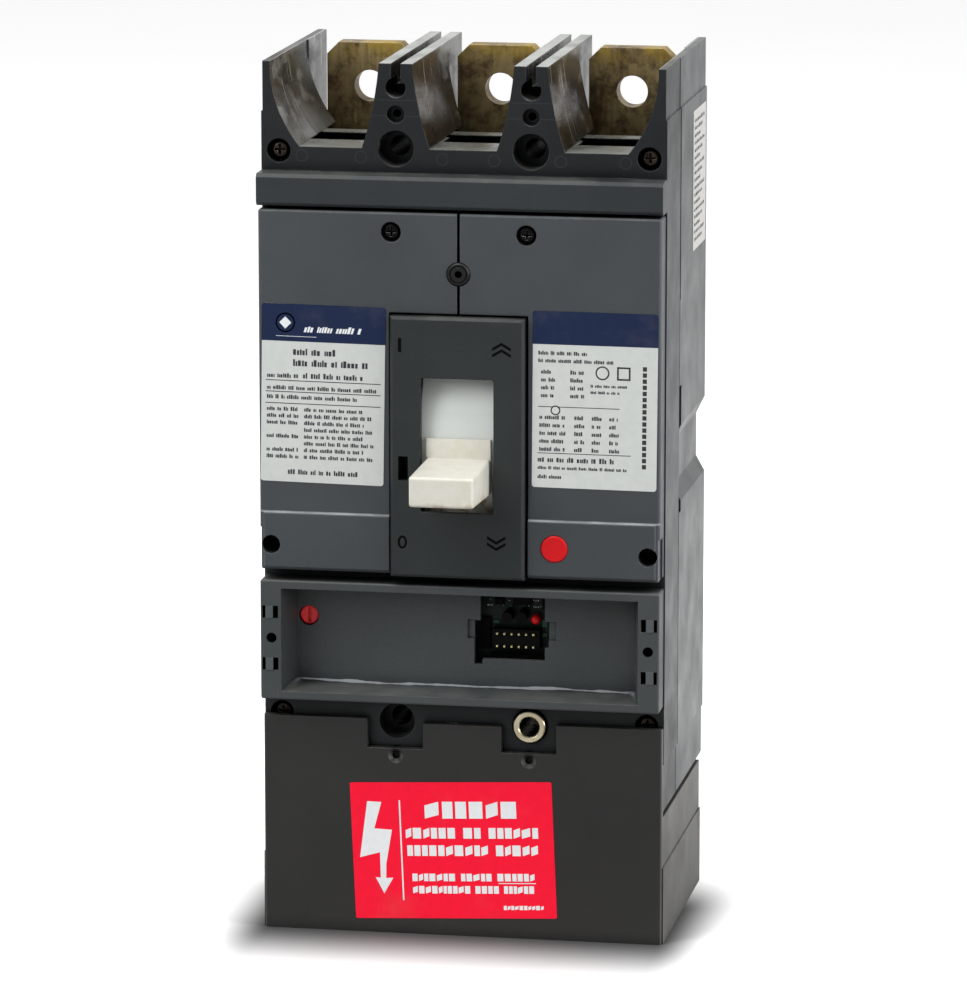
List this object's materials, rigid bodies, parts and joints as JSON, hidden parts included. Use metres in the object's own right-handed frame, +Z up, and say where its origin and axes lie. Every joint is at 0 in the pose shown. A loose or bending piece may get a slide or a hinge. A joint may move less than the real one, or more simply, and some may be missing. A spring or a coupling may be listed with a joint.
{
  "type": "molded case circuit breaker",
  "caption": "Three-pole molded case circuit breaker with rocking handle, stepped front cover, open line-end terminal wells, trip unit and lower lug cover.",
  "frame": {"origin": "centre of the four mounting holes on the rear mounting plane", "axes": "+Z up towards the line end, +X to the right seen from the front, -Y out through the front cover and handle"},
  "size_m": [0.1404, 0.136, 0.3029],
  "materials": {
    "molding_dark": "moulded thermoset, dark grey",
    "molding_cover": "moulded thermoset, blue-grey, fine texture",
    "molding_band": "moulded thermoset, grey",
    "molding_black": "moulded plastic, black-grey",
    "escutcheon_grey": "moulded plastic, grey",
    "label_white": "printed film, off-white with a dark blue band",
    "label_red": "printed film, red",
    "busbar": "plated copper bar, dulled",
    "copper": "bare copper",
    "contact_silver": "silver alloy contact tip",
    "lug_aluminium": "tin-plated aluminium",
    "screw_steel": "zinc-plated steel",
    "plated_steel": "zinc-plated sheet steel",
    "spring_steel": "spring wire",
    "fibre_board": "vulcanised fibre sheet",
    "ct_resin": "cast resin, dark blue",
    "baffle_grey": "moulded plastic, pale grey",
    "handle_ivory": "moulded plastic, ivory",
    "button_red": "moulded plastic, red",
    "board_green": "glass-epoxy board, green mask",
    "pin_gold": "gold-flashed pin",
    "sleeve_brass": "yellow-passivated steel"
  },
  "bodies": {
    "case": {"accessory_cover_screws": "screw_steel", "adjuster_switch": "molding_black", "arc_chute_plates": "plated_steel", "arc_chute_walls": "fibre_board", "board_chips": "molding_black", "capacitors": "molding_black", "circuit_board": "board_green", "corner_screws": "screw_steel", "cradle_pins": "screw_steel", "current_transformers": "ct_resin", "deep_cover_screws": "screw_steel", "escutcheon": "escutcheon_grey", "fixed_contacts": "contact_silver", "flexible_braids": "copper", "flux_shifter": "plated_steel", "front_cover": "molding_cover", "header_pins": "pin_gold", "indicator_lamp": "button_red", "left_accessory_cover": "molding_cover", "left_label": "label_white", "line_terminals": "busbar", "load_lugs": "lug_aluminium", "load_terminals": "busbar", "lock_plug": "molding_black", "lug_bolts": "screw_steel", "lug_clamp_screws": "screw_steel", "lug_cover": "molding_black", "lug_cover_screws": "screw_steel", "lug_nuts": "screw_steel", "main_springs": "spring_steel", "mechanism_frames": "plated_steel", "mounting_sleeve": "sleeve_brass", "plug_header": "molding_black", "rear_base": "molding_dark", "right_accessory_cover": "molding_cover", "right_label": "label_white", "side_label": "label_white", "trip_bar_spring": "spring_steel", "trip_button_spring": "spring_steel", "trip_unit_cover": "molding_band", "trip_unit_housing": "molding_black", "warning_label": "label_red"},
    "handle_body": {"handle": "handle_ivory", "handle_shield": "baffle_grey", "handle_yoke": "plated_steel"},
    "crossbar_body": {"crossbar": "molding_black", "contact_arms": "copper", "contact_arm_pins": "screw_steel", "moving_contacts": "contact_silver", "contact_springs": "spring_steel"},
    "upper_link_body": {"upper_links": "plated_steel"},
    "lower_link_body": {"lower_links": "plated_steel"},
    "cradle_body": {"cradle": "plated_steel"},
    "latch_body": {"latch": "plated_steel"},
    "trip_bar_body": {"trip_bar": "molding_black"},
    "trip_button_body": {"trip_button": "button_red"},
    "plunger_body": {"flux_plunger": "screw_steel"},
    "knob_body": {"adjuster_knob": "button_red"}
  },
  "joints": [
    {"name": "handle_turn", "type": "hinge", "parent": "case", "child": "handle_body", "pos_m": [0, -0.058, 0], "axis": [-1, 0, 0], "range_deg": [-5, 26], "deforming": ["main_springs"]},
    {"name": "crossbar_turn", "type": "hinge", "parent": "case", "child": "crossbar_body", "pos_m": [0, -0.042, -0.02], "axis": [-1, 0, 0], "range_deg": [-5.5, 26.5], "deforming": ["flexible_braids"]},
    {"name": "upper_link_turn", "type": "hinge", "parent": "case", "child": "upper_link_body", "pos_m": [0, -0.076, 0.012], "axis": [-1, 0, 0], "range_deg": [-33, 7]},
    {"name": "lower_link_turn", "type": "hinge", "parent": "crossbar_body", "child": "lower_link_body", "pos_m": [0, -0.05886, -0.00597], "axis": [-1, 0, 0], "range_deg": [-37.5, 7.8]},
    {"name": "cradle_turn", "type": "hinge", "parent": "case", "child": "cradle_body", "pos_m": [0, -0.066, 0.028], "axis": [-1, 0, 0], "range_deg": [0, 8]},
    {"name": "latch_turn", "type": "hinge", "parent": "case", "child": "latch_body", "pos_m": [0, -0.062, -0.038], "axis": [-1, 0, 0], "range_deg": [-12.5, 0.5]},
    {"name": "trip_bar_turn", "type": "hinge", "parent": "case", "child": "trip_bar_body", "pos_m": [0, -0.066, -0.0455], "axis": [-1, 0, 0], "range_deg": [-0.5, 16.5], "deforming": ["trip_bar_spring"]},
    {"name": "trip_button_slide", "type": "slide", "parent": "case", "child": "trip_button_body", "axis": [0, 1, 0], "range_m": [0, 0.0029], "deforming": ["trip_button_spring"]},
    {"name": "plunger_slide", "type": "slide", "parent": "case", "child": "plunger_body", "axis": [0, 0, 1], "range_m": [0, 0.0016]},
    {"name": "knob_turn", "type": "hinge", "parent": "case", "child": "knob_body", "pos_m": [-0.0552, -0.084, -0.0645], "axis": [0, -1, 0], "range_deg": [-120, 120]}
  ],
  "couplings": [
    {"joint": "crossbar_turn", "follows": "handle_turn", "ratio": 1},
    {"joint": "upper_link_turn", "follows": "handle_turn", "ratio": -1.24},
    {"joint": "lower_link_turn", "follows": "handle_turn", "ratio": -1.42},
    {"joint": "latch_turn", "follows": "cradle_turn", "ratio": -1.5},
    {"joint": "trip_bar_turn", "follows": "cradle_turn", "ratio": 2},
    {"joint": "trip_button_slide", "follows": "cradle_turn", "m_per_rad": 0.02}
  ]
}
